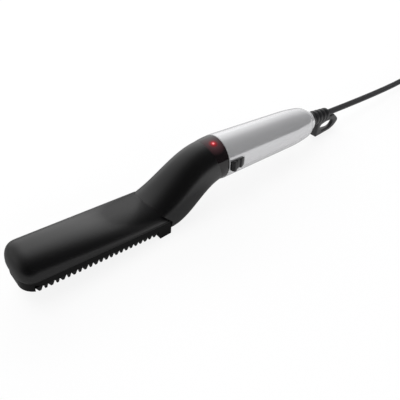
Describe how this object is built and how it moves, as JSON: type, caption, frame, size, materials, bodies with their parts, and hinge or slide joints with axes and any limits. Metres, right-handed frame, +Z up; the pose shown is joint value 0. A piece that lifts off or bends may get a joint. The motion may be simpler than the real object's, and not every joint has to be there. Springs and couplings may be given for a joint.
{
  "type": "beard straightener",
  "caption": "Corded beard straightener: heated comb under a domed paddle, cranked neck, tapered metal handle with a side switch, swivelling strain relief with a hanging loop.",
  "frame": {"origin": "under the middle of the object's box without its cord, on the table it lies on", "axes": "+X along the object from the paddle's nose to the cord, +Z up from the table, and -Y is the side with the switch"},
  "size_m": [0.5854, 0.0528, 0.0456],
  "materials": {
    "satin_black_shell": "satin",
    "comb_plastic": "satin",
    "coated_plate": "anodised black",
    "smoked_ring": "gloss smoked",
    "satin_sleeve": "satin",
    "bright_collar": "polished",
    "switch_plastic": "satin",
    "relief_rubber": "matte",
    "cord_jacket": "satin",
    "inner_plastic": "moulded",
    "board_laminate": "solder mask",
    "component_plastic": "moulded",
    "package_plastic": "moulded",
    "ceramic": "sintered",
    "insulating_film": "clear amber",
    "spring_steel": "bright",
    "screw_steel": "zinc plated",
    "contact_brass": "bright",
    "pin_nickel": "nickel plated",
    "lead_insulation": "silicone",
    "lamp_epoxy": "clear red",
    "bush_plastic": "natural"
  },
  "bodies": {
    "handle": {"head_cover": "satin_black_shell", "comb_frame": "comb_plastic", "heating_plate": "coated_plate", "ceramic_heater": "ceramic", "heater_film": "insulating_film", "heater_clamp": "spring_steel", "thermal_fuse": "spring_steel", "thermistor": "lamp_epoxy", "head_screws": "screw_steel", "neck_shell": "satin_black_shell", "neck_underside": "satin_black_shell", "neck_screws": "screw_steel", "heater_leads": "lead_insulation", "indicator_ring": "smoked_ring", "indicator_lamp": "lamp_epoxy", "lamp_holder": "inner_plastic", "handle_sleeve": "satin_sleeve", "core_lower": "inner_plastic", "core_upper": "inner_plastic", "core_screws": "screw_steel", "control_board": "board_laminate", "film_capacitor": "component_plastic", "power_triac": "package_plastic", "dropping_resistor": "ceramic", "switch_body": "package_plastic", "rear_collar": "bright_collar", "swivel_bush": "bush_plastic", "contact_springs": "contact_brass"},
    "switch": {"switch_knob": "switch_plastic", "switch_lever": "bush_plastic"},
    "cord_end": {"strain_relief": "relief_rubber", "swivel_rotor": "bush_plastic", "contact_ring": "contact_brass", "contact_pin": "contact_brass", "power_cord": "cord_jacket", "cord_hank": "cord_jacket", "hank_tie": "cord_jacket", "plug_body": "cord_jacket", "plug_pins": "pin_nickel"}
  },
  "joints": [
    {"name": "switch_slide", "type": "slide", "parent": "handle", "child": "switch", "axis": [0.9954, 0, -0.0962], "range_m": [0, 0.003]},
    {"name": "cord_swivel", "type": "hinge", "parent": "handle", "child": "cord_end", "pos_m": [0.1005, 0, 0.02053], "axis": [0.9954, 0, -0.0962], "continuous": true}
  ]
}
